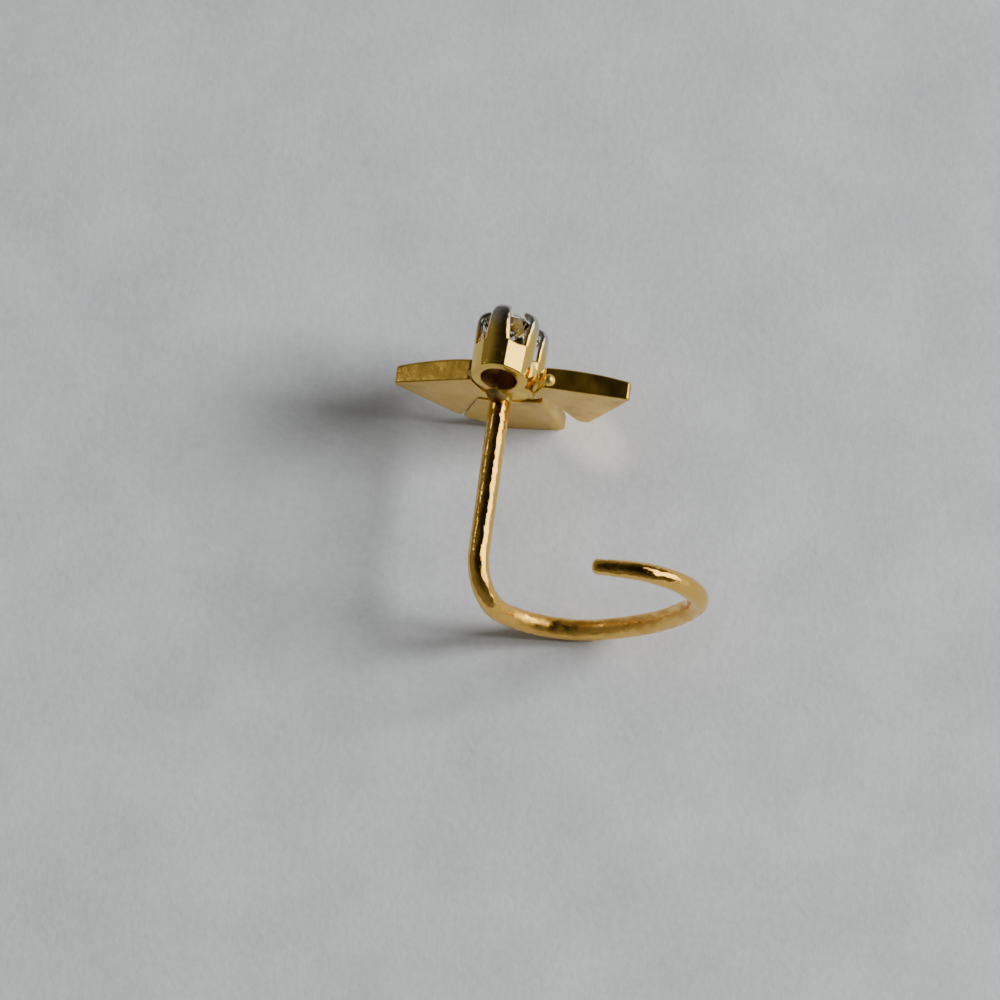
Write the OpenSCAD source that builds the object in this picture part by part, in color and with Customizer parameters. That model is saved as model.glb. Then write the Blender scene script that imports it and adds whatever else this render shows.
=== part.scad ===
// Gold nose stud: a flower head of three petals and two claw-set stones on a wire post with an open hook.
// Millimetres. The stud lies as it does on a table: on the end of its lower petal and on the hook.
// The stones face +Y, the post runs back along -Y, and Z is up from the table.

/* [Wire] */
// Diameter of the wire of the post and hook
wire_d = 0.8; // [0.7:0.05:0.9]
// Length of the straight post behind the head, up to its bend
post_len = 6.1; // [5.5:0.05:6.5]
// Centre-line radius of the bend between post and hook
bend_r = 1.8; // [1.7:0.05:2]
// Direction in which the hook leaves the bend, in degrees from +X
hook_aim = -67; // [-69:1:-65]
// Length of the tapered tail at the hook's free end
tail_len = 1; // [0.8:0.1:1.6]
// Diameter at the tail's rounded tip
tip_d = 0.56; // [0.4:0.02:0.7]
// Place of the post from the centre collet's axis, along X
post_x = -0.38; // [-0.45:0.01:-0.3]

/* [Petals] */
// Thickness of a petal at the top of its dome
petal_t = 0.9; // [0.8:0.05:1.1]
// Radius of the domed front of a petal
dome_r = 14; // [12:0.5:20]
// Length of the lower petal from the centre collet's axis
petal_len = 3.3; // [3.2:0.02:3.4]
// Width of the flat end of the lower petal, on which the stud rests
petal_w = 2.3; // [2.1:0.02:2.4]

/* [Collets] */
// Height of a collet from its back to its claw tips
collet_h = 2.78; // [2.7:0.02:2.9]
// Radius of a collet at its widest, just under the claw tips
collet_r = 1.16; // [1.12:0.01:1.18]
// Radius of the open hole through a collet
hole_r = 0.73; // [0.68:0.01:0.76]
// Width of a claw beside the stone
claw_w = 0.66; // [0.56:0.02:0.72]
// Width of a claw where it rises out of the wall
claw_foot = 0.9; // [0.8:0.02:0.96]
// Distance between the two collets' axes at the back
collet_gap = 2.18; // [2.14:0.02:2.22]

/* [Stones] */
// Girdle diameter of each stone
stone_d = 1.72; // [1.6:0.02:1.76]
// Gap between a stone and the gold that holds it
stone_gap = 0.03; // [0.02:0.01:0.05]

/* [Hidden] */
$fn = 48;

gold = "#d4a537";
diamond = "#e6eef2";

// Columns of the hook's table: centre-line radius and turn in degrees of each bend
BEND_R = 0;
TURN = 1;
hook_bends = [
  [2.67, 85],
  [8.4, 38.5],
  [2.6, 116.5]
];

// Place of the middle of the lower petal's flat end, along X
rest_x = 0.1;
// Columns of a petal's outline, seen from the front: across, down, corner radius
AT_X = 0;
AT_Y = 1;
CORNER = 2;
left_petal = [
  [-4.42, -1.18, 0.18],
  [-1.17, -1.93, 0.08],
  [-0.98, -0.35, 0.04],
  [-0.97, 0.12, 0.04],
  [-1.32, -0.05, 0.1],
  [-2.34, 1.66, 0.1],
  [-2.58, 2.08, 0.12]
];
right_petal = [
  [4.5, -0.5, 0.12],
  [4.53, -0.33, 0.1],
  [2.26, 2.46, 0.35],
  [1.92, 2.14, 0.15],
  [1.3, -0.35, 0.1],
  [0.78, 0.08, 0.04],
  [0.8, -0.3, 0.04],
  [1.48, -1.44, 0.08]
];
lower_petal = [
  [0.98, 0.3, 0.05],
  [petal_w / 2 + rest_x, petal_len, 0.25],
  [-petal_w / 2 + rest_x, petal_len, 0.6],
  [-2.46, 2.24, 0.18],
  [-1.42, 0.1, 0.1],
  [-0.98, 0.3, 0.05]
];

// Columns of the collets' table: place of the back, lean of the axis towards +X and -Z in degrees,
// depth filed off the lower side of the back rim, the slant of that filing in degrees, and the turn
// of the claws about the collet's own axis
ACROSS = 0;
UP = 1;
BACK = 2;
LEAN_X = 3;
LEAN_DOWN = 4;
FILED = 5;
SLANT = 6;
CLAW_TURN = 7;
collets = [
  [-0.12, 0, 0.06, -2, 4, 0.04, 0, 5],
  [-0.02, collet_gap, -0.12, 0, 7, 0, 5, -2]
];

// The post sits as high as the hook needs to touch the table beside the lower petal
post_z = bend_r * sin(-hook_aim) + hook_bends[0][BEND_R] * (1 - cos(hook_aim)) + wire_d / 2 - petal_len;

wall_top = 1.52;
notch_depth = 0.2;
// Radius of a collet above the bevel of its back rim, and that bevel's height
base_r = 1.06;
bevel_h = 0.14;
// Angle at which a collet's wall opens towards the stone
flare = atan((collet_r - base_r) / (collet_h - 0.5 - bevel_h));
girdle_z = collet_h - 0.46;
stone_r = stone_d / 2;
table_r = 0.55 * stone_r;
crown_h = 0.34 * stone_r;
pavilion_h = 0.87 * stone_r;
girdle_t = 0.04;
// Corners of the crown and of the pavilion between the table, the girdle and the point, from the girdle's middle
star_r = 0.78 * stone_r;
star_z = crown_h * (stone_r - star_r * cos(22.5)) / (stone_r - table_r) + girdle_t / 2;
low_r = 0.42 * stone_r;
low_z = -pavilion_h * (stone_r - low_r * cos(22.5)) / stone_r - girdle_t / 2;

wire_r = wire_d / 2;
floor_drop = petal_len;
// The origin is under the middle of the stud's box, on the table
middle_x = 2.259;
middle_y = -2.712;

function unit(v) = v / norm(v);

// Points of the arc that rounds corner b between its neighbours a and c
function corner_arc(a, b, c, r, steps = 5) =
  let (
    to_a = unit(a - b),
    to_c = unit(c - b),
    half = acos(to_a * to_c) / 2,
    centre = b + unit(to_a + to_c) * r / sin(half),
    from = b + to_a * r / tan(half) - centre,
    to = b + to_c * r / tan(half) - centre,
    start = atan2(from[1], from[0]),
    sweep = (atan2(to[1], to[0]) - start + 540) % 360 - 180
  )
  [for (i = [0:steps]) centre + r * [cos(start + sweep * i / steps), sin(start + sweep * i / steps)]];

// A closed outline whose corners are rounded by the table's own radii
function rounded(table) =
  let (count = len(table))
  [for (i = [0:count - 1])
    let (
      before = table[(i + count - 1) % count],
      here = table[i],
      after = table[(i + 1) % count]
    )
    each corner_arc([before[AT_X], before[AT_Y]], [here[AT_X], here[AT_Y]],
      [after[AT_X], after[AT_Y]], here[CORNER])];

// Turns a piece drawn with its back on z = 0 so that it faces +Y and its y points down
module facing_front() {
  rotate([-90, 0, 0]) children();
}

// A low dome filed in flat steps: rings of twelve corners that follow the dome's radius
module filed_dome() {
  ring_t = 0.01;
  widest = 4.8;
  hull() {
    for (r = [0.8, 2, 3.3, widest])
      translate([0, 0, petal_t - ring_t - r * r / (2 * dome_r)])
        linear_extrude(ring_t) circle(r, $fn = 12);
    translate([0, 0, -1]) linear_extrude(ring_t) circle(widest, $fn = 12);
  }
}

module petal(outline, dome_x, dome_y) {
  intersection() {
    linear_extrude(petal_t + 1) polygon(rounded(outline));
    translate([dome_x, dome_y, 0]) filed_dome();
  }
}

module petals() {
  facing_front() {
    petal(left_petal, -2, -0.7);
    petal(right_petal, 2.2, 0.1);
    petal(lower_petal, 0, 0.4);
  }
}

// Section of a collet's wall and claws, from the back rim up to the tips bent over the stone
module collet_section() {
  polygon([
    [hole_r, 0],
    [base_r - 0.07, 0],
    [base_r, bevel_h],
    [collet_r, collet_h - 0.5],
    [collet_r - 0.02, collet_h - 0.3],
    [collet_r - 0.1, collet_h - 0.13],
    [collet_r - 0.26, collet_h - 0.02],
    [0.66, collet_h],
    [0.58, collet_h - 0.06],
    [0.58, collet_h - 0.3],
    [hole_r, collet_h - 0.45]
  ]);
}

// The space of a stone with its gap, cut out of the claws
module stone_seat() {
  g = stone_gap;
  rotate_extrude()
    polygon([
      [0, girdle_z - pavilion_h - girdle_t / 2 - 1.5 * g],
      [low_r + g, girdle_z + low_z - g],
      [stone_r + g, girdle_z - girdle_t / 2 - g],
      [stone_r + g, girdle_z + girdle_t / 2 + g],
      [star_r + g, girdle_z + star_z + g],
      [table_r + g, girdle_z + crown_h + girdle_t / 2 + g],
      [0, girdle_z + crown_h + girdle_t / 2 + g]
    ]);
}

module claw_bar() {
  tip_r = 0.26;
  rotate([90, 0, 90])
    linear_extrude(2)
      union() {
        polygon([
          [-claw_foot / 2, 0.2],
          [claw_foot / 2, 0.2],
          [claw_foot / 2, wall_top - 0.3],
          [claw_w / 2, collet_h - 0.6],
          [tip_r, collet_h - tip_r],
          [-tip_r, collet_h - tip_r],
          [-claw_w / 2, collet_h - 0.6],
          [-claw_foot / 2, wall_top - 0.3]
        ]);
        translate([0, collet_h - tip_r]) circle(tip_r);
      }
}

module wall_zone() {
  difference() {
    cylinder(r = 2, h = wall_top);
    for (i = [0:3])
      rotate([90, 0, 45 + 90 * i])
        linear_extrude(4, center = false)
          polygon([[-0.9, wall_top + 0.05], [0, wall_top - notch_depth], [0.9, wall_top + 0.05], [0, wall_top + 1]]);
  }
}

// Two filed flats side by side between each pair of claws
module filed_flats() {
  flat_r = base_r * cos(15);
  for (i = [0:3])
    for (side = [30, 60])
      rotate([0, 0, 90 * i + side])
        translate([flat_r, -1, bevel_h])
          rotate([0, flare, 0]) cube([1, 2, 3]);
}

module collet() {
  difference() {
    intersection() {
      rotate_extrude() collet_section();
      union() {
        wall_zone();
        for (i = [0:3]) rotate([0, 0, 90 * i]) claw_bar();
      }
    }
    filed_flats();
  }
}

module at_collet(row) {
  translate([row[ACROSS], row[BACK], row[UP]])
    facing_front()
      rotate([-row[LEAN_DOWN], row[LEAN_X], 0])
        rotate([0, 0, row[CLAW_TURN]]) children();
}

// Both collets, run together where their walls meet, with room for both stones
module collet_pair() {
  difference() {
    union() {
      for (row = collets) at_collet(row) collet();
    }
    for (row = collets) {
      at_collet(row) stone_seat();
      at_collet(row) filed_rim(row);
    }
  }
}

// The space that filing took off a back rim, tilted so that it's deepest on the upper side
module filed_rim(row) {
  rotate([0, 0, -row[CLAW_TURN]])
    translate([-1.5, base_r, row[FILED]])
      rotate([-row[SLANT], 0, 0])
        translate([0, -2.2, -0.5]) cube([3, 2.3, 0.5]);
}

// Solder that joins petals, collets and post, and fills the centre collet's hole round the post's root
module solder() {
  at_collet(collets[0]) translate([0, 0, 0.14]) cylinder(r = hole_r + 0.1, h = 0.6);
  translate([1.66, 0.29, 1.42]) sphere(0.25);
  translate([1.52, 0.27, 1.36]) rotate([0, 207, 0]) cylinder(r1 = 0.2, r2 = 0.27, h = 1.25);
  translate([-1.17, 0.25, 1.9]) sphere(0.14);
  translate([-1.1, 0.3, 1.78]) rotate([0, 177, 0]) cylinder(r = 0.16, h = 1.35);
  for (side = [-1, 1])
    translate([-0.07 + 0.32 * side, 0.08, collet_gap / 2]) rotate([-90, 0, 0]) cylinder(r = 0.23, h = 1.1);
  translate([post_x + 0.06, -0.02, post_z]) cylinder(r = 0.34, h = 0.72);
  translate([post_x + 0.06, -0.02, post_z + 0.72]) sphere(0.34);
  translate([post_x, 0.3, post_z]) rotate([90, 0, 0]) cylinder(r = wire_r + 0.05, h = 0.5);
}

// Follows the hook's bends one after another, each starting where the last one ended
module hook_from(i) {
  if (i < len(hook_bends)) {
    r = hook_bends[i][BEND_R];
    turn = hook_bends[i][TURN];
    joint_ring();
    translate([0, r, 0]) rotate([0, 0, -90]) rotate_extrude(angle = turn) translate([r, 0]) circle(wire_r);
    translate([r * sin(turn), r * (1 - cos(turn)), 0]) rotate([0, 0, turn]) hook_from(i + 1);
  } else {
    joint_ring();
    rotate([0, 90, 0]) tail();
  }
}

// A hair-thin ring over the seam where two stretches of wire meet
module joint_ring() {
  rotate([0, 90, 0]) cylinder(r = wire_r + 0.004, h = 0.03, center = true);
}

module tail() {
  tip_r = tip_d / 2;
  rotate_extrude()
    polygon(concat(
      [[0, 0], [wire_r, 0]],
      [for (a = [0:15:75]) [tip_r * cos(a), tail_len - tip_r + tip_r * sin(a)]],
      [[0, tail_len]]
    ));
}

module wire() {
  translate([post_x, 0, post_z])
    rotate([90, 0, 0])
      rotate([0, 0, hook_aim]) {
        translate([0, 0, -0.4]) cylinder(r = wire_r, h = post_len + 0.4);
        translate([0, 0, post_len]) rotate([0, 90, 0]) joint_ring();
        translate([bend_r, 0, post_len])
          rotate([90, 0, 0]) rotate([0, 0, 90]) rotate_extrude(angle = 90) translate([bend_r, 0]) circle(wire_r);
        translate([bend_r, 0, post_len + bend_r]) hook_from(0);
      }
}

// A round brilliant with its girdle on z = 0: table, crown and pavilion facets round an axis of eight
module brilliant() {
  points = concat(
    [for (i = [0:7]) [table_r * cos(45 * i), table_r * sin(45 * i), crown_h + girdle_t / 2]],
    [for (i = [0:7]) [star_r * cos(45 * i + 22.5), star_r * sin(45 * i + 22.5), star_z]],
    [for (i = [0:15]) [stone_r * cos(22.5 * i), stone_r * sin(22.5 * i), girdle_t / 2]],
    [for (i = [0:15]) [stone_r * cos(22.5 * i), stone_r * sin(22.5 * i), -girdle_t / 2]],
    [for (i = [0:7]) [low_r * cos(45 * i + 22.5), low_r * sin(45 * i + 22.5), low_z]],
    [[0, 0, -pavilion_h - girdle_t / 2]]
  );
  table = 0;
  star = 8;
  top = 16;
  bottom = 32;
  low = 48;
  culet = 56;
  faces = concat(
    [[for (i = [7:-1:0]) table + i]],
    [for (i = [0:7]) [table + i, table + (i + 1) % 8, star + i]],
    [for (i = [0:7]) [table + i, star + i, top + 2 * i, star + (i + 7) % 8]],
    [for (i = [0:7]) [star + i, top + 2 * i + 1, top + 2 * i]],
    [for (i = [0:7]) [star + i, top + (2 * i + 2) % 16, top + 2 * i + 1]],
    [for (j = [0:15]) [top + j, top + (j + 1) % 16, bottom + (j + 1) % 16, bottom + j]],
    [for (i = [0:7]) [bottom + 2 * i, bottom + 2 * i + 1, low + i]],
    [for (i = [0:7]) [bottom + 2 * i + 1, bottom + (2 * i + 2) % 16, low + i]],
    [for (i = [0:7]) [bottom + 2 * i, low + i, culet, low + (i + 7) % 8]]
  );
  polyhedron(points, faces);
}

module stone(row) {
  color(diamond)
    stud_frame()
      at_collet(row)
        translate([0, 0, girdle_z]) brilliant();
}

// Sets the head's own frame on the table, with the stud's middle over the origin
module stud_frame() {
  translate([-middle_x, -middle_y, floor_drop]) children();
}

module gold_setting() {
  color(gold)
    stud_frame() {
      petals();
      collet_pair();
      solder();
      wire();
    }
}

gold_setting();
stone(collets[0]);  // centre_stone
stone(collets[1]);  // upper_stone
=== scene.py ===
"""Gold nose stud on a pale table: a flower head with two claw-set stones, a wire post and an open hook."""

import math

import bpy
import numpy as np
from mathutils import Matrix, Vector


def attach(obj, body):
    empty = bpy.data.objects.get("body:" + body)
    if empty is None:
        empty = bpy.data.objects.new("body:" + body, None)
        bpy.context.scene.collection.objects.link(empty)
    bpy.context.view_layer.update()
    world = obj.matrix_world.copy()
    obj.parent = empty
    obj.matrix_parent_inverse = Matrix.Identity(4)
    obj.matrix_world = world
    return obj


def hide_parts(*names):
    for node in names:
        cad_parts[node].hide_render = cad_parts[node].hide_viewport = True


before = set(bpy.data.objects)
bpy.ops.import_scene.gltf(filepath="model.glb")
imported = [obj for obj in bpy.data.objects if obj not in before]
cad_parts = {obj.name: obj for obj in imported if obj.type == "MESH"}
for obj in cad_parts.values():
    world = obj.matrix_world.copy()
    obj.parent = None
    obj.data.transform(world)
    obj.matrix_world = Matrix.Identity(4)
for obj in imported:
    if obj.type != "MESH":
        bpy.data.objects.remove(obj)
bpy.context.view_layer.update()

# The table
# A sheet of pale grey matt paper under the stud, cloudy in tone and finely grained by its fibres.
# It lies at the height of the hook's lowest point and of the lower petal's end.
MM = 0.001
table_half = 400.0


def mesh_object(name, points, faces, smooth=True):
    """A mesh piece from points in millimetres and a list of faces, with its place in the mesh."""
    mesh = bpy.data.meshes.new(name)
    mesh.from_pydata((np.asarray(points) * MM).tolist(), [], faces)
    mesh.polygons.foreach_set("use_smooth", np.full(len(mesh.polygons), smooth))
    mesh.update()
    piece = bpy.data.objects.new(name, mesh)
    bpy.context.scene.collection.objects.link(piece)
    return piece


def new_material(name):
    """A new material, its node tree and its Principled shader."""
    material = bpy.data.materials.new(name)
    material.use_nodes = True
    tree = material.node_tree
    return material, tree, tree.nodes["Principled BSDF"]


def add_node(tree, kind, **settings):
    """Adds a node and sets its properties or, where a name is a socket's, that socket's own value."""
    node = tree.nodes.new(kind)
    for key, value in settings.items():
        if hasattr(node, key):
            setattr(node, key, value)
        else:
            node.inputs[key.replace("_", " ")].default_value = value
    return node


def feed(tree, socket, value):
    """Links a socket to another node's output, or gives it a value of its own."""
    if isinstance(value, bpy.types.NodeSocket):
        tree.links.new(value, socket)
    else:
        socket.default_value = value


def add_maths(tree, operation, *values):
    """The result of a maths node that takes numbers and other nodes' outputs."""
    node = add_node(tree, "ShaderNodeMath", operation=operation)
    for socket, value in zip(node.inputs, values):
        feed(tree, socket, value)
    return node.outputs["Value"]


def add_noise(tree, place, **settings):
    """The value of a noise texture that reads the given place."""
    node = add_node(tree, "ShaderNodeTexNoise", **settings)
    feed(tree, node.inputs["Vector"], place)
    return node.outputs["Fac"]


def paper_material():
    """Matt paper: a broad noise and a fine one make its tone, and the fine one its relief."""
    material, tree, shader = new_material("pale_paper")
    place = add_node(tree, "ShaderNodeTexCoord").outputs["Object"]
    clouds = add_noise(tree, place, Scale=210.0, Detail=4.0, Roughness=0.6)
    fibres = add_noise(tree, place, Scale=3200.0, Detail=3.0, Roughness=0.6)
    tone = add_node(tree, "ShaderNodeValToRGB")
    dark, light = tone.color_ramp.elements
    dark.position = 0.45
    dark.color = (0.52, 0.525, 0.53, 1)
    light.position = 1.0
    light.color = (0.69, 0.7, 0.7, 1)
    grain = add_node(tree, "ShaderNodeBump", Strength=0.5, Distance=0.00004)
    feed(tree, tone.inputs["Fac"], add_maths(tree, "MULTIPLY_ADD", fibres, 0.45, clouds))
    feed(tree, grain.inputs["Height"], fibres)
    feed(tree, shader.inputs["Base Color"], tone.outputs["Color"])
    feed(tree, shader.inputs["Normal"], grain.outputs["Normal"])
    shader.inputs["Roughness"].default_value = 0.85
    shader.inputs["Specular IOR Level"].default_value = 0.2
    return material


table_points = [
    [-table_half, -table_half, 0.0],
    [table_half, -table_half, 0.0],
    [table_half, table_half, 0.0],
    [-table_half, table_half, 0.0],
]
table = mesh_object("table_top", table_points, [[0, 1, 2, 3]], smooth=False)
table.data.materials.append(paper_material())

# The camera
# It looks down on the table from behind the stud's head, along the directions that
# were measured from the photo: the head's axis, the post's foreshortening and the roll.
roll = math.radians(8.0)
pitch = math.radians(18.0)
turn = math.radians(16.5)
camera_distance = 250.0
picture_width = 37.0
sensor_width = 36.0
post_root = np.array([-2.639, 2.712, 3.684])
root_right_of_middle = 0.037
root_above_middle = 3.885
across = np.array([math.cos(turn), 0.0, -math.sin(turn)])
over = np.array([math.sin(turn), 0.0, math.cos(turn)])
ahead = np.array([0.0, 1.0, 0.0])
view_right = (
    math.cos(roll) * across
    + math.sin(roll) * math.sin(pitch) * over
    + math.sin(roll) * math.cos(pitch) * ahead
)
view_up = (
    -math.sin(roll) * across
    + math.cos(roll) * math.sin(pitch) * over
    + math.cos(roll) * math.cos(pitch) * ahead
)
view_back = math.cos(pitch) * over - math.sin(pitch) * ahead
aim = post_root - root_right_of_middle * view_right - root_above_middle * view_up
eye = aim + camera_distance * view_back
camera = bpy.data.objects.new("camera", bpy.data.cameras.new("camera"))
bpy.context.scene.collection.objects.link(camera)
camera.matrix_world = Matrix(
    [[*column] for column in np.array([view_right, view_up, view_back]).T]
).to_4x4()
camera.location = Vector(eye * MM)
camera.data.sensor_width = sensor_width
camera.data.lens = sensor_width * camera_distance / picture_width
camera.data.clip_start = 0.01
bpy.context.scene.camera = camera

# The light
# A window low on the stud's right casts its soft shadows, and the pale wall behind it makes the long bright
# lines in the gold. A soft lamp overhead lifts the shadows, a small far one draws the thin line along the
# post's left, and a narrow warm beam stands for the light that the right petal throws on the table.
area_lamps = {
    "window": dict(
        place=(526, 62, 282), width=230, height=220, power=6.7, colour=(0.96, 0.985, 1.0),
        lights_table=True, seen_in_gloss=False),
    "pale_wall": dict(
        place=(542, 125, 225), width=560, height=540, power=4.4, colour=(1.0, 0.93, 0.62),
        lights_table=False, seen_in_gloss=True),
    "overhead_fill": dict(
        place=(60, 40, 600), width=500, height=500, power=0.3, colour=(0.94, 0.97, 1.0),
        lights_table=True, seen_in_gloss=False),
    "far_lamp": dict(
        place=(-430, 150, 370), width=70, height=40, power=0.05, colour=(1.0, 0.95, 0.85),
        lights_table=True, seen_in_gloss=True),
}


def place_lamp(name, lamp, place, way):
    """Puts a lamp at a place in millimetres, with its light going the given way."""
    holder = bpy.data.objects.new(name, lamp)
    bpy.context.scene.collection.objects.link(holder)
    holder.location = Vector(place) * MM
    holder.rotation_euler = way.to_track_quat("-Z", "Y").to_euler()
    return holder


def area_light(name, place, width, height, power, colour, lights_table, seen_in_gloss):
    """A rectangular lamp that faces the stud and may leave out either matt surfaces or reflections."""
    lamp = bpy.data.lights.new(name, "AREA")
    lamp.shape = "RECTANGLE"
    lamp.size = width * MM
    lamp.size_y = height * MM
    lamp.energy = power
    lamp.color = colour
    holder = place_lamp(name, lamp, place, -Vector(place))
    holder.visible_diffuse = lights_table
    holder.visible_glossy = seen_in_gloss


def thrown_light(name, place, goal, width, power, colour):
    """A narrow soft beam from one place to another, for light that the gold throws on the table."""
    way = Vector(goal) - Vector(place)
    lamp = bpy.data.lights.new(name, "SPOT")
    lamp.spot_size = 2 * math.atan(width / 2 / way.length)
    lamp.spot_blend = 1.0
    lamp.energy = power
    lamp.color = colour
    place_lamp(name, lamp, place, way).visible_glossy = False


def add_range(tree, value, given, wanted, soft=True):
    """A value moved from one range to another, evenly or, if soft, slower near both ends."""
    node = add_node(tree, "ShaderNodeMapRange", interpolation_type="SMOOTHSTEP" if soft else "LINEAR")
    feed(tree, node.inputs["Value"], value)
    for socket, end in zip(("From Min", "From Max", "To Min", "To Max"), (*given, *wanted)):
        feed(tree, node.inputs[socket], end)
    return node.outputs["Result"]


def dim_room():
    """A room whose weak light fades towards the upper right, and which the camera sees as plain grey."""
    world = bpy.data.worlds.new("room")
    bpy.context.scene.world = world
    world.use_nodes = True
    tree = world.node_tree
    room_light = tree.nodes["Background"]
    room_light.inputs["Color"].default_value = (0.85, 0.82, 0.76, 1)
    from_darkest = add_node(tree, "ShaderNodeVectorMath", operation="DOT_PRODUCT")
    from_darkest.inputs[1].default_value = (0.43, 0.05, 0.9)
    feed(tree, from_darkest.inputs[0], add_node(tree, "ShaderNodeTexCoord").outputs["Generated"])
    feed(tree, room_light.inputs["Strength"],
         add_range(tree, from_darkest.outputs["Value"], (0.15, 1.0), (0.24, 0.015)))
    backdrop = add_node(tree, "ShaderNodeBackground", Color=(0.6, 0.6, 0.59, 1), Strength=1.0)
    either = add_node(tree, "ShaderNodeMixShader")
    feed(tree, either.inputs["Fac"], add_node(tree, "ShaderNodeLightPath").outputs["Is Camera Ray"])
    feed(tree, either.inputs[1], room_light.outputs["Background"])
    feed(tree, either.inputs[2], backdrop.outputs["Background"])
    feed(tree, tree.nodes["World Output"].inputs["Surface"], either.outputs["Shader"])


thrown_light(
    "light_from_the_petal", place=(39.9, -27.5, 30.0), goal=(-0.1, 2.5, 0.0),
    width=2.6, power=0.11, colour=(1.0, 0.85, 0.52))
for lamp_name, lamp_row in area_lamps.items():
    area_light(lamp_name, **lamp_row)
dim_room()

# The wire post and hook
# One length of round 20 gauge gold wire, drawn, bent by pliers and filed thinner towards its free end.
# Its front end is soldered between the two collets, and the marks of drawing run along it.
HEAD = np.array([-2.259, 2.712, 3.3])
wire_r = 0.4
post_at = np.array([-0.38, 0.384])
post_len = 6.1
post_in_head = 0.25
hook_aim = math.radians(-67.0)
first_bend_r = 1.8
# The hook's arcs one after another: radius and turned degrees
hook_bends = [(2.67, 85.0), (8.4, 38.5), (2.6, 116.5)]
tail_len = 1.0
tail_r = 0.275
cap_len = 0.2
thinning_len = 2.3
wire_step = 0.05
wire_sides = 40
wire_swell = 0.99
wire_waves = 0.012
gold_colour = (0.92, 0.56, 0.13)


def hook_path(step):
    """The wire's middle line, its direction and one side vector, as rows of equal spacing.

    The line is straight along -Y, turns a quarter circle into the hook's plane, and then follows
    plane arcs one after another. A point on an arc is its start, plus the radius times the sine of
    the turned angle along the start direction, plus the radius times one minus the cosine towards
    the arc's centre. The last rows draw together over the rounded tip."""
    back = np.array([0.0, -1.0, 0.0])
    aim_dir = np.array([math.cos(hook_aim), 0.0, math.sin(hook_aim)])
    side = np.cross(back, aim_dir)
    start = np.array([post_at[0], post_in_head, post_at[1]])
    stretch = np.arange(0.0, post_len + post_in_head, step)[:, None]
    points = [start + stretch * back]
    ways = [np.repeat(back[None], len(stretch), 0)]
    sides = [np.repeat(side[None], len(stretch), 0)]
    corner = np.array([post_at[0], -post_len, post_at[1]])
    angle = np.arange(0.0, math.pi / 2, step / first_bend_r)[:, None]
    points.append(corner + first_bend_r * (np.sin(angle) * back + (1 - np.cos(angle)) * aim_dir))
    ways.append(np.cos(angle) * back + np.sin(angle) * aim_dir)
    sides.append(np.repeat(side[None], len(angle), 0))
    here = corner + first_bend_r * (back + aim_dir)
    heading = hook_aim
    for radius, degrees in hook_bends:
        angle = np.arange(0.0, math.radians(degrees), step / radius)[:, None] + heading
        centre = here + radius * np.array([-math.sin(heading), 0.0, math.cos(heading)])
        none = np.zeros_like(angle)
        points.append(centre + radius * np.hstack([np.sin(angle), none, -np.cos(angle)]))
        ways.append(np.hstack([np.cos(angle), none, np.sin(angle)]))
        sides.append(np.cross(back, ways[-1]))
        heading += math.radians(degrees)
        here = centre + radius * np.array([math.sin(heading), 0.0, -math.cos(heading)])
    last = np.array([math.cos(heading), 0.0, math.sin(heading)])
    over_the_tip = np.sin(np.radians([15.0, 30.0, 45.0, 60.0, 75.0, 88.0]))
    cap_start = tail_len - cap_len
    stretch = np.concatenate([np.arange(0.0, cap_start, step), cap_start + cap_len * over_the_tip])
    points.append(here + stretch[:, None] * last)
    ways.append(np.repeat(last[None], len(stretch), 0))
    sides.append(np.repeat(np.cross(back, last)[None], len(stretch), 0))
    return np.vstack(points), np.vstack(ways), np.vstack(sides)


def tube_faces(rings, count):
    """Quads between rings of count points, closed round each ring, with a many-sided face at each end."""
    ring = np.arange(rings - 1)[:, None] * count
    j = np.arange(count)[None]
    k = (j + 1) % count
    quads = np.stack([ring + j, ring + count + j, ring + count + k, ring + k], -1).reshape(-1, 4)
    ends = [list(range(count)), list(range(rings * count - 1, (rings - 1) * count - 1, -1))]
    return quads.tolist() + ends


def soft_noise(points, scale, seed):
    """A smooth wavy value from -1 to 1 at each point: the mean of six sine waves in random directions."""
    chance = np.random.default_rng(seed)
    waves = chance.normal(size=(6, 3)) * scale
    phase = chance.uniform(0, 2 * math.pi, 6)
    return np.sin(points @ waves.T + phase).mean(1)


def wire_surface():
    """A circle of points carried along the hook's path.

    The radius nears the wire's own as one minus exp(-s / thinning_len), with s the way from the tip
    in millimetres, and follows a quarter circle over the rounded tip. Soft waves make it uneven."""
    line, way, side = hook_path(wire_step)
    gone = np.concatenate([[0.0], np.cumsum(np.linalg.norm(np.diff(line, axis=0), axis=1))])
    left = gone[-1] - gone
    radius = wire_r - (wire_r - tail_r) * np.exp(-left / thinning_len)
    rounding = np.clip(1 - left / cap_len, 0, 0.998)
    radius = radius * np.sqrt(1 - rounding**2)
    angle = np.linspace(0, 2 * math.pi, wire_sides, endpoint=False)
    normal = np.cross(side, way)
    ring = (
        np.cos(angle)[None, :, None] * side[:, None] + np.sin(angle)[None, :, None] * normal[:, None]
    )
    places = (line[:, None] * 0.7 + ring * 0.6).reshape(-1, 3)
    waves = soft_noise(places, scale=2.2, seed=4).reshape(ring.shape[:2])
    swell = wire_swell + wire_waves * waves
    points = line[:, None] + ring * (radius[:, None] * swell)[..., None]
    return points.reshape(-1, 3) + HEAD, tube_faces(len(line), wire_sides)


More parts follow.
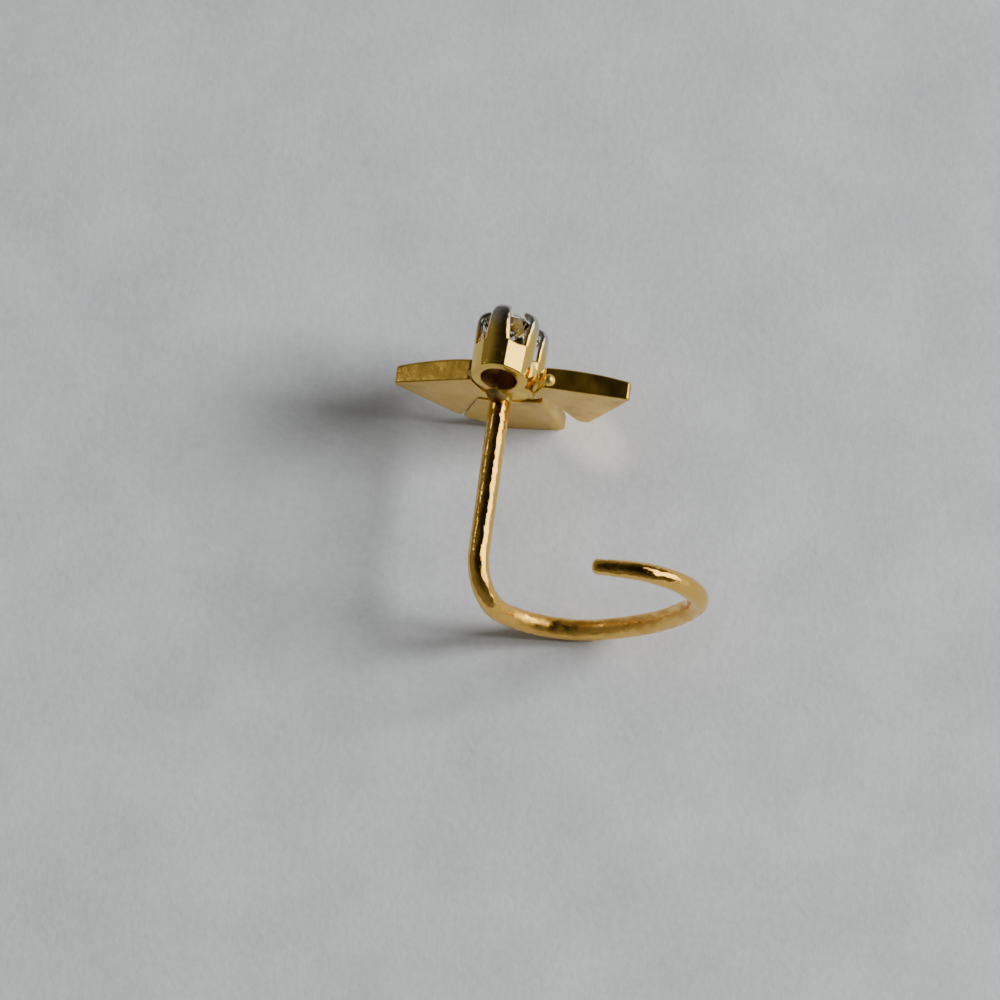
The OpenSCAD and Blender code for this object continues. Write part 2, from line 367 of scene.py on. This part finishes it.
def along_wire_uv(piece):
    """A UV map whose U runs round the wire and whose V is the length along it, both in millimetres."""
    mesh = piece.data
    rings = len(mesh.vertices) // wire_sides
    layer = mesh.uv_layers.new(name="along")
    corners = np.zeros(len(mesh.loops), int)
    mesh.loops.foreach_get("vertex_index", corners)
    ring, spot = corners // wire_sides, corners % wire_sides
    uv = np.stack([spot / wire_sides * 2 * math.pi * wire_r, ring * wire_step], 1)
    starts = np.zeros(len(mesh.polygons), int)
    mesh.polygons.foreach_get("loop_start", starts)
    quad = starts[: (rings - 1) * wire_sides]
    seam = np.arange(len(quad)) % wire_sides == wire_sides - 1
    for corner in (2, 3):
        uv[quad[seam] + corner, 0] = 2 * math.pi * wire_r
    layer.data.foreach_set("uv", uv.astype(np.float32).ravel())


def worked_metal_group():
    """Handled jeweller's metal with fine scratches, soft dents and cloudy wear.

    It puts out a roughness, a height for a Bump node and the mask of its cloudy wear."""
    group = bpy.data.node_groups.new("worked_metal", "ShaderNodeTree")
    group.interface.new_socket("Vector", in_out="INPUT", socket_type="NodeSocketVector")
    for name, value in (("Mark Scale", 1.0), ("Rough Low", 0.1), ("Rough High", 0.3)):
        socket = group.interface.new_socket(name, in_out="INPUT", socket_type="NodeSocketFloat")
        socket.default_value = value
    for name in ("Roughness", "Height", "Cloud"):
        group.interface.new_socket(name, in_out="OUTPUT", socket_type="NodeSocketFloat")
    given = group.nodes.new("NodeGroupInput").outputs
    put = group.nodes.new("NodeGroupOutput").inputs
    scaled = add_node(group, "ShaderNodeVectorMath", operation="SCALE")
    feed(group, scaled.inputs[0], given["Vector"])
    feed(group, scaled.inputs["Scale"], given["Mark Scale"])
    fine = add_noise(group, scaled.outputs["Vector"], Scale=9.0, Detail=5.0, Roughness=0.6)
    broad = add_noise(group, scaled.outputs["Vector"], Scale=1.3, Detail=2.0, Roughness=0.5)
    wanted = (given["Rough Low"], given["Rough High"])
    feed(group, put["Roughness"], add_range(group, broad, (0.3, 0.7), wanted, soft=False))
    feed(group, put["Height"], add_maths(group, "MULTIPLY_ADD", fine, 0.06, broad))
    feed(group, put["Cloud"], broad)
    return group


worked_metal = worked_metal_group()


def mix_colour(tree, factor, first, second):
    """A colour between two others, by a factor that another node puts out."""
    node = add_node(tree, "ShaderNodeMix", data_type="RGBA")
    for socket, value in (("Factor", factor), ("A", first), ("B", second)):
        feed(tree, node.inputs[socket], value)
    return node.outputs["Result"]


def gold_material(name, colour, rough, bump, mark_scale, stretch=(1, 1, 1), from_uv=False):
    """Yellow gold with the worked metal's marks, read from the wire's own UV map or from its place.

    It returns the material, its node tree and its shader, for a finish to be added."""
    material, tree, shader = new_material(name)
    shader.inputs["Metallic"].default_value = 1.0
    place = add_node(tree, "ShaderNodeTexCoord")
    fitted = add_node(tree, "ShaderNodeMapping", Scale=stretch)
    feed(tree, fitted.inputs["Vector"], place.outputs["UV" if from_uv else "Object"])
    marks = tree.nodes.new("ShaderNodeGroup")
    marks.node_tree = worked_metal
    feed(tree, marks.inputs["Vector"], fitted.outputs["Vector"])
    marks.inputs["Mark Scale"].default_value = mark_scale
    marks.inputs["Rough Low"].default_value = rough[0]
    marks.inputs["Rough High"].default_value = rough[1]
    cloudy = [part * share for part, share in zip(colour, (0.86, 0.82, 0.75))]
    tint = mix_colour(tree, marks.outputs["Cloud"], (*colour, 1), (*cloudy, 1))
    height = add_node(tree, "ShaderNodeBump", Strength=bump, Distance=0.00006)
    feed(tree, height.inputs["Height"], marks.outputs["Height"])
    feed(tree, shader.inputs["Base Color"], tint)
    feed(tree, shader.inputs["Roughness"], marks.outputs["Roughness"])
    feed(tree, shader.inputs["Normal"], height.outputs["Normal"])
    return material, tree, shader


def source_of(socket):
    """The output that a socket is linked to."""
    return socket.links[0].from_socket


def drawn_gold_material():
    """Drawn wire gold: its marks run along the wire, and handling dulled the hook but not its tip."""
    material, tree, shader = gold_material(
        "drawn_gold_wire", gold_colour, rough=(0.04, 0.16), bump=1.0, mark_scale=1.0,
        stretch=(1.6, 1.1, 1), from_uv=True)
    along = add_node(tree, "ShaderNodeSeparateXYZ")
    feed(tree, along.inputs["Vector"], add_node(tree, "ShaderNodeTexCoord").outputs["UV"])
    handled = add_range(tree, along.outputs["Y"], (6.0, 11.0), (1.0, 3.4))
    near_tip = add_range(tree, along.outputs["Y"], (18.5, 20.5), (1.0, 0.3))
    wear = add_maths(tree, "MULTIPLY", handled, near_tip)
    rough = shader.inputs["Roughness"]
    feed(tree, rough, add_maths(tree, "MULTIPLY", wear, source_of(rough)))
    return material


wire_points, wire_faces = wire_surface()
post_and_hook = mesh_object("post_and_hook", wire_points, wire_faces)
along_wire_uv(post_and_hook)
post_and_hook.data.materials.append(drawn_gold_material())
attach(post_and_hook, "root")
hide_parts("gold_setting")

# The petals
# Three flat-backed petals sawn from thick gold sheet and filed to a low dome in front.
# Their backs and walls keep a satin of fine file marks, and their roots are soldered to the collets.
PETAL_T = 0.9
DOME_R = 14.0
back_round = 0.07
front_round = 0.09
ripple_height = 0.008
# A corner's row is its place across and down from the head's middle, and the radius it is rounded to
petal_tables = {
    "left_petal": dict(
        corners=[(-4.42, -1.18, 0.2), (-1.17, -1.93, 0.12), (-0.98, -0.35, 0.1), (-0.97, 0.12, 0.1),
                 (-1.32, -0.05, 0.1), (-2.29, 1.72, 0.12), (-2.58, 2.1, 0.12)],
        middle=(-1.8, -1.05), dome=(-2.0, -0.7)),
    "right_petal": dict(
        corners=[(4.5, -0.5, 0.12), (4.53, -0.33, 0.1), (2.26, 2.46, 0.35), (1.92, 2.14, 0.15),
                 (1.3, -0.35, 0.1), (0.78, 0.08, 0.1), (0.8, -0.3, 0.1), (1.48, -1.44, 0.12)],
        middle=(1.65, -1.05), dome=(2.2, 0.1)),
    "lower_petal": dict(
        corners=[(0.98, 0.3, 0.1), (1.25, 3.3, 0.25), (-1.05, 3.3, 0.6), (-2.5, 2.2, 0.2),
                 (-1.42, 0.1, 0.1), (-0.98, 0.3, 0.1)],
        middle=(-0.6, 1.95), dome=(0.0, 0.4)),
}


def smooth_outline(corners, spacing=0.05):
    """Points round a closed outline with rounded corners, and their outward normals.

    Each corner is replaced by a circular arc that touches both of its sides, and the straight
    stretches between the arcs are filled with evenly spaced points."""
    arc_points = 9
    table = np.array(corners, float)
    spots, radii = table[:, :2], table[:, 2]
    before, after = np.roll(spots, 1, 0), np.roll(spots, -1, 0)
    to_before = (before - spots) / np.linalg.norm(before - spots, axis=1)[:, None]
    to_after = (after - spots) / np.linalg.norm(after - spots, axis=1)[:, None]
    half = np.arccos(np.clip((to_before * to_after).sum(1), -1, 1)) / 2
    inward = to_before + to_after
    inward /= np.linalg.norm(inward, axis=1)[:, None]
    centres = spots + inward * (radii / np.sin(half))[:, None]
    reach = radii / np.tan(half)
    outline = []
    for i in range(len(spots)):
        first = spots[i] + to_before[i] * reach[i] - centres[i]
        last = spots[i] + to_after[i] * reach[i] - centres[i]
        start = math.atan2(first[1], first[0])
        sweep = (math.atan2(last[1], last[0]) - start + 3 * math.pi) % (2 * math.pi) - math.pi
        t = np.linspace(0, 1, arc_points)[:, None]
        arc = centres[i] + radii[i] * np.hstack([np.cos(start + sweep * t), np.sin(start + sweep * t)])
        k = (i + 1) % len(spots)
        goal = spots[k] + to_before[k] * reach[k]
        n = max(2, int(np.linalg.norm(goal - arc[-1]) / spacing))
        line = arc[-1] + (goal - arc[-1]) * np.linspace(0, 1, n, endpoint=False)[1:, None]
        outline += [arc, line]
    outline = np.vstack(outline)
    tangent = np.roll(outline, -1, 0) - np.roll(outline, 1, 0)
    tangent /= np.linalg.norm(tangent, axis=1)[:, None]
    normal = np.stack([tangent[:, 1], -tangent[:, 0]], 1)
    x, y = outline.T
    area = (x * np.roll(y, -1) - y * np.roll(x, -1)).sum()
    return (outline, normal) if area > 0 else (outline[::-1], -normal[::-1])


def petal_surface(corners, middle, dome):
    """A closed shell over two parameters: the place round the outline, and the way across the petal.

    The way across goes from the back's middle out to the edge, over a small rounding, up the wall,
    over the front's larger rounding and back to the middle. Faces shrink the outline towards the
    middle point, and the front's height is a sphere's above the back plane. The points come with
    their faces and with a mask that is 1 on the wall and its roundings."""
    outline, normal = smooth_outline(corners)
    middle = np.array(middle)
    dome = np.array(dome)
    face_rows = 26
    wall_rows = 8
    quarter = np.radians(np.linspace(0, 90, 7))
    edge_rows = wall_rows + 2 * len(quarter)
    across_face = np.linspace(0.03, 0.985, face_rows) ** 0.8
    up_wall = np.linspace(0.1, 0.9, wall_rows)
    on_face = np.zeros(face_rows)
    shrink = np.concatenate([across_face, np.ones(edge_rows), across_face[::-1]])
    inset = np.concatenate([
        on_face + back_round, back_round * (1 - np.sin(quarter)), np.zeros(wall_rows),
        front_round * (1 - np.cos(quarter)), on_face + front_round])
    level = np.concatenate([
        on_face, back_round * (1 - np.cos(quarter)), up_wall, front_round * (1 - np.sin(quarter)), on_face])
    side_rows = face_rows + len(quarter)
    part = np.repeat(["back", "wall", "front"], [side_rows, wall_rows, side_rows])[:, None]
    edge = outline[None] - normal[None] * inset[:, None, None]
    flat = middle + (edge - middle) * shrink[:, None, None]
    front = PETAL_T - DOME_R + np.sqrt(DOME_R**2 - ((flat - dome) ** 2).sum(-1))
    wall = back_round + (front - front_round - back_round) * level[:, None]
    height = np.where(part == "wall", wall, front - level[:, None])
    height = np.where(part == "back", level[:, None], height)
    places = np.concatenate([flat, height[..., None]], -1).reshape(-1, 3)
    height = height + ripple_height * soft_noise(places, scale=1.6, seed=7).reshape(height.shape)
    points = np.stack([flat[..., 0], height, -flat[..., 1]], -1).reshape(-1, 3)
    polished = np.repeat(np.concatenate([on_face, np.ones(edge_rows), on_face]), len(outline))
    return points + HEAD, tube_faces(len(shrink), len(outline)), polished


def add_mask(piece, name, values):
    """Keeps one value for each of a piece's points, for its material to read."""
    mask = piece.data.attributes.new(name, "FLOAT", "POINT")
    mask.data.foreach_set("value", values.astype(np.float32))


def satin_gold_material():
    """Satin sheet gold, smoother on the sawn walls and soiled in spots."""
    material, tree, shader = gold_material(
        "satin_gold_sheet", (0.76, 0.5, 0.11), rough=(0.26, 0.42), bump=0.4, mark_scale=900.0)
    place = add_node(tree, "ShaderNodeTexCoord").outputs["Object"]
    grime = add_noise(tree, place, Scale=820.0, Detail=4.0, Roughness=0.55)
    spots = add_range(tree, grime, (0.52, 0.72), (0.0, 0.55))
    colour = shader.inputs["Base Color"]
    feed(tree, colour, mix_colour(tree, spots, source_of(colour), (0.3, 0.17, 0.06, 1)))
    on_wall = add_node(tree, "ShaderNodeAttribute", attribute_name="polished").outputs["Fac"]
    smoother = add_range(tree, on_wall, (0.0, 1.0), (1.0, 0.65), soft=False)
    rough = shader.inputs["Roughness"]
    feed(tree, rough, add_maths(tree, "MULTIPLY", smoother, source_of(rough)))
    return material


satin_gold = satin_gold_material()
for petal_name, petal_row in petal_tables.items():
    petal_points, petal_faces, petal_polished = petal_surface(**petal_row)
    petal = mesh_object(petal_name, petal_points, petal_faces)
    add_mask(petal, "polished", petal_polished)
    petal.data.materials.append(satin_gold)
    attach(petal, "root")
    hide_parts("gold_setting")

# The collets
# Each stone stands in a short gold tube, filed to two shallow flats between each pair of claws. The upper
# tube is open at its back, and solder fills the centre one's. Four claws are soldered up the sides of each
# and bent over the stone, and their tips are dipped in rhodium.
collet_h = 2.78
collet_r = 1.16
base_r = 1.06
hole_r = 0.68
bevel_h = 0.14
bevel_in = 0.07
wall_top = 1.52
notch_depth = 0.3
notch_rise = 0.2
widest_below_tips = 0.5
flare = (collet_r - base_r) / (collet_h - widest_below_tips - bevel_h)
collets = {
    "centre_collet": dict(
        place=(-0.12, 0.06, 0.0), lean_x=-2.0, lean_down=4.0, filed=0.04, slant=0.0,
        claw_turn=math.radians(5.0)),
    "upper_collet": dict(
        place=(-0.02, -0.12, 2.18), lean_x=0.0, lean_down=7.0, filed=0.0, slant=5.0,
        claw_turn=math.radians(-2.0)),
}


def to_head(points, place, lean_x, lean_down, claw_turn, **_):
    """Stands a piece drawn round its own axis in the head: turned, leaned, laid forward and put in place."""
    turned = Matrix.Rotation(claw_turn, 3, "Z")
    leaned = Matrix.Rotation(math.radians(lean_x), 3, "Y") @ Matrix.Rotation(-math.radians(lean_down), 3, "X")
    forward = Matrix.Rotation(-math.pi / 2, 3, "X")
    return points @ np.array(forward @ leaned @ turned).T + np.array(place) + HEAD


def collet_wall(filed, slant, claw_turn, **_):
    """A closed ring-shaped surface over two parameters: the angle round the axis, and the way round the wall.

    The outside is the smaller of a slightly opening cone and the two filed flats, a flat's radius
    being its distance over the cosine of the angle from its middle. The back rim is cut by the
    file's slanting plane, and the top edge falls a little between each pair of claws. The points
    come with their faces and with a mask that is 1 inside the hole."""
    columns = 288
    rows = 34
    lip = 0.04
    flat_turn = math.radians(4)
    flat_reach = base_r * math.cos(math.radians(16))
    angle = np.linspace(0, 2 * math.pi, columns, endpoint=False)[:, None]
    rim = filed + (base_r + base_r * np.sin(-(angle + claw_turn))) * math.tan(math.radians(slant))
    from_gap = angle % (math.pi / 2) - math.pi / 4
    top = wall_top - notch_depth + notch_rise * np.abs(np.sin(from_gap)) * base_r
    way = np.linspace(0, 1, rows)[None]
    up = rim + (top - rim) * way
    from_flat = np.abs(np.abs(from_gap) - flat_turn)
    above_bevel = up - bevel_h
    cone = np.where(above_bevel < 0, base_r + bevel_in * above_bevel / bevel_h, base_r + above_bevel * flare)
    plane = (flat_reach + np.maximum(above_bevel, 0) * flare) / np.cos(from_flat)
    top_round = np.clip((1 - way) * (rows - 1) / 2, 0, 1)
    foot_round = np.clip(way * (rows - 1) / 2, 0, 1)
    outer = np.minimum(cone, plane)
    outer = outer - lip * (1 - np.sqrt(1 - (1 - top_round) ** 2))
    outer = outer - lip * (1 - np.sqrt(1 - (1 - foot_round) ** 2))
    inner = np.full_like(up, hole_r)
    just_outside_hole = inner[:, :1] + 0.02
    loop_r = np.concatenate([outer, inner, just_outside_hole], 1)
    loop_z = np.concatenate([up, up[:, ::-1], rim], 1)
    points = np.stack([loop_r * np.cos(angle), loop_r * np.sin(angle), loop_z], -1)
    loop = loop_r.shape[1]
    i = np.arange(columns)[:, None]
    j = np.arange(loop)[None]
    i2, j2 = (i + 1) % columns, (j + 1) % loop
    quads = np.stack([i * loop + j, i2 * loop + j, i2 * loop + j2, i * loop + j2], -1).reshape(-1, 4)
    in_hole = np.zeros((columns, loop))
    in_hole[:, rows:-1] = 1.0
    return points.reshape(-1, 3), quads.tolist(), in_hole.ravel()


def claw_surface(spin):
    """A rounded bar carried up the wall and over the stone.

    Two lines in the claw's middle plane, one inside and one outside, give its place and thickness
    at each height. The section between them is a superellipse, bent back at its sides by their
    distance squared over twice the collet's radius, and it closes in a rounded tip. Its mask is 0."""
    # The share of the claw's length, the inside line's reach and height, and the outside line's
    stations = np.array([
        (0.0, 0.84, 0.3, 1.08, 0.3),
        (0.35, 0.88, 1.3, 1.135, 1.3),
        (0.55, 0.89, 1.8, 1.16, 1.8),
        (0.7, 0.9, 2.1, 1.175, 2.15),
        (0.79, 0.92, 2.27, 1.17, 2.36),
        (0.87, 0.89, 2.38, 1.11, 2.57),
        (0.94, 0.8, 2.48, 0.97, 2.71),
        (1.0, 0.66, 2.6, 0.78, 2.77),
    ])
    # The share of the claw's length and half its width there
    widths = np.array([(0, 0.48), (0.33, 0.47), (0.55, 0.43), (0.72, 0.38), (0.9, 0.33), (1, 0.28)])
    rows = 60
    sides = 40
    tip_len = 0.13
    squareness = 2.7
    t = np.linspace(0, 1, rows)
    inner = np.stack([np.interp(t, stations[:, 0], stations[:, k]) for k in (1, 2)], 1)
    outer = np.stack([np.interp(t, stations[:, 0], stations[:, k]) for k in (3, 4)], 1)
    for _ in range(3):
        inner[1:-1] = (inner[:-2] + 2 * inner[1:-1] + inner[2:]) / 4
        outer[1:-1] = (outer[:-2] + 2 * outer[1:-1] + outer[2:]) / 4
    cap = np.radians(np.linspace(12, 86, 7))
    way = (inner[-1] + outer[-1] - inner[-2] - outer[-2]) / 2
    way /= np.linalg.norm(way)
    tip_points = (inner[-1] + outer[-1]) / 2 + tip_len * np.sin(cap)[:, None] * way
    middle = np.vstack([(inner + outer) / 2, tip_points])
    half = np.vstack([(outer - inner) / 2, (outer[-1] - inner[-1]) / 2 * np.cos(cap)[:, None]])
    flank = np.interp(t, widths[:, 0], widths[:, 1])
    flank = np.concatenate([flank, flank[-1] * np.cos(cap)])
    angle = np.linspace(0, 2 * math.pi, sides, endpoint=False)
    cosine, sine = np.cos(angle), np.sin(angle)
    outward = np.sign(cosine) * np.abs(cosine) ** (2 / squareness)
    sideways = np.sign(sine) * np.abs(sine) ** (2 / squareness)
    flat = middle[:, None] + half[:, None] * outward[None, :, None]
    side = flank[:, None] * sideways[None]
    out = flat[..., 0] - side**2 / (2 * collet_r)
    across_head = out * math.cos(spin) - side * math.sin(spin)
    down_head = out * math.sin(spin) + side * math.cos(spin)
    points = np.stack([across_head, down_head, flat[..., 1]], -1).reshape(-1, 3)
    return points, tube_faces(len(middle), sides), np.zeros(len(points))


def joined(parts):
    """One array of points and one list of faces from the points and faces of several closed parts."""
    points, faces, start = [], [], 0
    for part_points, part_faces, *_ in parts:
        faces += [[corner + start for corner in face] for face in part_faces]
        points.append(part_points)
        start += len(part_points)
    return np.vstack(points), faces


def collet_material():
    """Polished gold that turns to rhodium over the claw tips, with painted shade darkening it inside the
    tube.
    """
    material, tree, shader = gold_material(
        "claw_gold_and_rhodium", (0.87, 0.6, 0.13), rough=(0.05, 0.18), bump=0.8, mark_scale=1100.0)
    height = add_node(tree, "ShaderNodeAttribute", attribute_name="up_the_collet").outputs["Fac"]
    # This mask is 1 inside the tube, where the gold is darkened to dark brown and roughened as painted shade.
    shade_mask = add_node(tree, "ShaderNodeAttribute", attribute_name="painted_shade").outputs["Fac"]
    place = add_node(tree, "ShaderNodeTexCoord").outputs["Object"]
    ragged = add_noise(tree, place, Scale=1500.0, Detail=2.0)
    edge = add_maths(tree, "MULTIPLY_ADD", ragged, 0.5, height)
    dipped = add_range(tree, edge, (1.7, 2.75), (0.0, 1.0))
    colour = shader.inputs["Base Color"]
    plated = mix_colour(tree, dipped, source_of(colour), (0.5, 0.49, 0.47, 1))
    feed(tree, colour, mix_colour(tree, shade_mask, plated, (0.3, 0.15, 0.06, 1)))
    rim = add_range(tree, height, (0.0, 0.2), (0.28, 0.0), soft=False)
    rough = shader.inputs["Roughness"]
    filed_rim = add_maths(tree, "ADD", rim, source_of(rough))
    feed(tree, rough, add_maths(tree, "MULTIPLY_ADD", shade_mask, 0.35, filed_rim))
    return material


claw_gold = collet_material()
for collet_name, collet_row in collets.items():
    collet_parts = [collet_wall(**collet_row)]
    collet_parts += [claw_surface(math.radians(90 * i)) for i in range(4)]
    collet_points, collet_faces = joined(collet_parts)
    collet = mesh_object(collet_name, to_head(collet_points, **collet_row), collet_faces)
    add_mask(collet, "up_the_collet", collet_points[:, 2])
    # The second mask marks the inside of the tube for its painted shade.
    add_mask(collet, "painted_shade", np.concatenate([part[2] for part in collet_parts]))
    collet.data.materials.append(claw_gold)
    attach(collet, "root")
    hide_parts("gold_setting")

# The solder
# Solder ran between collets, petals and post when the head was joined, and it was left unfiled.
# One drop set on the right petal's upper edge, and a small bead on the left petal's.
solder_sides = 36
# The middle and reach of the painted shade that darkens the solder round the post's neck.
dark_middle = np.array([-0.45, -0.2, 1.0])
dark_reach = np.array([0.55, 0.9, 0.75])


def lump(centre, radii, seed, uneven=0.08):
    """A closed blob: a sphere's points by two angles, stretched to three radii and made uneven."""
    rows = 25
    rise = np.radians(np.linspace(-86, 86, rows))[:, None]
    turned = np.linspace(0, 2 * math.pi, solder_sides, endpoint=False)[None]
    level = np.sin(rise) + 0 * turned
    ball = np.stack([np.cos(rise) * np.cos(turned), np.cos(rise) * np.sin(turned), level], -1)
    swell = 1 + uneven * soft_noise(ball.reshape(-1, 3), 1.8, seed).reshape(ball.shape[:2])
    points = np.array(centre) + ball * np.array(radii) * swell[..., None]
    return points.reshape(-1, 3) + HEAD, tube_faces(rows, solder_sides)


def solder_run(start, end, r_start, r_end, seed, blunt=4.0, uneven=0.1):
    """A closed run of solder round the line from one point to another.

    Its radius changes evenly along the line and closes at both ends as a superellipse does, by
    (1 - |v|^b)^(1/b), with v from -1 to 1 along the line and b its bluntness."""
    rows = 31
    start, end = np.array(start), np.array(end)
    v = -np.cos(np.radians(np.linspace(4, 176, rows)))
    way = (end - start) / np.linalg.norm(end - start)
    side = np.cross(way, [0.31, 0.9, 0.27])
    side /= np.linalg.norm(side)
    turned = np.linspace(0, 2 * math.pi, solder_sides, endpoint=False)[None, :, None]
    ring = np.cos(turned) * side + np.sin(turned) * np.cross(way, side)
    radius = (r_start + (r_end - r_start) * (v + 1) / 2) * (1 - np.abs(v) ** blunt) ** (1 / blunt)
    line = start + (end - start) * ((v + 1) / 2)[:, None]
    spots = line[:, None] + ring * radius[:, None, None]
    swell = 1 + uneven * soft_noise(spots.reshape(-1, 3), 2.6, seed).reshape(spots.shape[:2])
    points = line[:, None] + ring * (radius[:, None] * swell)[..., None]
    return points.reshape(-1, 3) + HEAD, tube_faces(rows, solder_sides)


def solder_material():
    """Bright rough solder, with painted shade darkening it to near black where it meets the post."""
    material, tree, shader = gold_material(
        "solder_gold", (0.94, 0.75, 0.24), rough=(0.26, 0.42), bump=0.5, mark_scale=1300.0)
    shader.inputs["Specular Tint"].default_value = (0.95, 0.72, 0.35, 1)
    # This mask darkens the solder to near black as painted shade round the post's neck.
    shade_mask = add_node(tree, "ShaderNodeAttribute", attribute_name="painted_shade").outputs["Fac"]
    colour = shader.inputs["Base Color"]
    feed(tree, colour, mix_colour(tree, shade_mask, source_of(colour), (0.11, 0.065, 0.025, 1)))
    return material


plug_ends = to_head(np.array([[0, 0, 0.02], [0, 0, 0.72]]), **collets["centre_collet"]) - HEAD
right_drop = lump((1.66, 0.29, 1.42), (0.235, 0.235, 0.235), seed=1, uneven=0.03)
right_runs = [
    solder_run((1.55, 0.34, 1.5), (0.93, 0.08, 0.12), 0.16, 0.12, seed=2),
    solder_run((1.34, 0.5, 1.2), (0.92, 0.42, 0.15), 0.26, 0.34, seed=11),
]
left_bead = lump((-1.17, 0.25, 1.9), (0.13, 0.13, 0.13), seed=5)
left_run = solder_run((-1.1, 0.3, 1.85), (-1.02, 0.3, 0.4), 0.14, 0.17, seed=3)
seams_between_collets = [
    solder_run((-0.39, 0.02, 1.09), (-0.39, 1.2, 1.09), 0.24, 0.2, seed=6),
    solder_run((0.25, 0.02, 1.09), (0.25, 1.2, 1.09), 0.24, 0.2, seed=7),
]
neck_over_post = lump((-0.38, -0.1, 0.95), (0.4, 0.36, 0.62), seed=8, uneven=0.05)
ring_round_post = solder_run((-0.38, 0.3, 0.384), (-0.38, -0.4, 0.384), 0.43, 0.405, seed=9)
plug_in_collet = solder_run(plug_ends[0], plug_ends[1], 0.76, 0.8, seed=10, blunt=7.0, uneven=0.03)
solder_points, solder_faces = joined([
    right_drop, *right_runs, left_bead, left_run, *seams_between_collets,
    neck_over_post, ring_round_post, plug_in_collet])
from_neck = (solder_points - HEAD - dark_middle) / dark_reach
solder = mesh_object("solder", solder_points, solder_faces)
# The mask stored here is the painted shade round the post's neck, strongest at its middle.
add_mask(solder, "painted_shade", np.exp(-((from_neck**2).sum(1) ** 2)))
solder.data.materials.append(solder_material())
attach(solder, "root")
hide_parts("gold_setting")

# The stones
# Two round brilliants of clear stone, 1.72 mm across, each polished flat in a table, a crown of 32 facets
# and a pavilion of 24. Each sits on its claws' seats with its girdle just under the claw tips.
stone_r = 0.86
girdle_below_tips = 0.46
girdle_z = collet_h - girdle_below_tips


def brilliant_points():
    """A round brilliant's corners by rings: table, crown break, girdle above and below, pavilion, culet."""
    facet_turn = 22.5
    table_ring = np.radians(2 * facet_turn * np.arange(8))
    break_ring = table_ring + math.radians(facet_turn)
    girdle_ring = np.radians(facet_turn * np.arange(16))
    table_r = 0.55 * stone_r
    star_r = 0.78 * stone_r
    low_r = 0.42 * stone_r
    crown_h = 0.34 * stone_r
    pavilion_h = 0.87 * stone_r
    girdle_t = 0.04
    slope = math.cos(math.radians(facet_turn))
    star_z = crown_h * (stone_r - star_r * slope) / (stone_r - table_r) + girdle_t / 2
    low_z = -pavilion_h * (stone_r - low_r * slope) / stone_r - girdle_t / 2

    def ring(angles, radius, z):
        return np.stack([radius * np.cos(angles), radius * np.sin(angles), np.full(len(angles), z)], 1)

    return np.vstack([
        ring(table_ring, table_r, crown_h + girdle_t / 2),
        ring(break_ring, star_r, star_z),
        ring(girdle_ring, stone_r, girdle_t / 2),
        ring(girdle_ring, stone_r, -girdle_t / 2),
        ring(break_ring, low_r, low_z),
        [[0, 0, -pavilion_h - girdle_t / 2]],
    ])


def brilliant_faces():
    """The facets as corner lists: stars, kites and halves on the crown, halves and mains on the pavilion.

    The table's corners are 0 to 7, and the five names give the first corner of each ring after it."""
    star, top, bottom, low, culet = 8, 16, 32, 48, 56
    faces = [list(range(8))]
    for i in range(8):
        faces += [
            [star + i, (i + 1) % 8, i],
            [star + (i + 7) % 8, top + 2 * i, star + i, i],
            [top + 2 * i, top + 2 * i + 1, star + i],
            [top + 2 * i + 1, top + (2 * i + 2) % 16, star + i],
            [low + i, bottom + 2 * i + 1, bottom + 2 * i],
            [low + i, bottom + (2 * i + 2) % 16, bottom + 2 * i + 1],
            [low + (i + 7) % 8, culet, low + i, bottom + 2 * i],
        ]
    for j in range(16):
        faces.append([bottom + j, bottom + (j + 1) % 16, top + (j + 1) % 16, top + j])
    return faces


def stone_material():
    """Colourless polished stone that light passes through."""
    material, _, shader = new_material("clear_brilliant")
    shader.inputs["Base Color"].default_value = (0.97, 0.97, 0.96, 1)
    shader.inputs["Transmission Weight"].default_value = 1.0
    shader.inputs["IOR"].default_value = 2.4
    shader.inputs["Roughness"].default_value = 0.0
    return material


clear_stone = stone_material()
for stone_name, collet_name in (("centre_stone", "centre_collet"), ("upper_stone", "upper_collet")):
    cut_points = to_head(brilliant_points() + np.array([0, 0, girdle_z]), **collets[collet_name])
    stone = mesh_object(stone_name + "_cut", cut_points, brilliant_faces(), smooth=False)
    stone.data.materials.append(clear_stone)
    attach(stone, "root")
    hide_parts(stone_name)

bpy.context.view_layer.update()
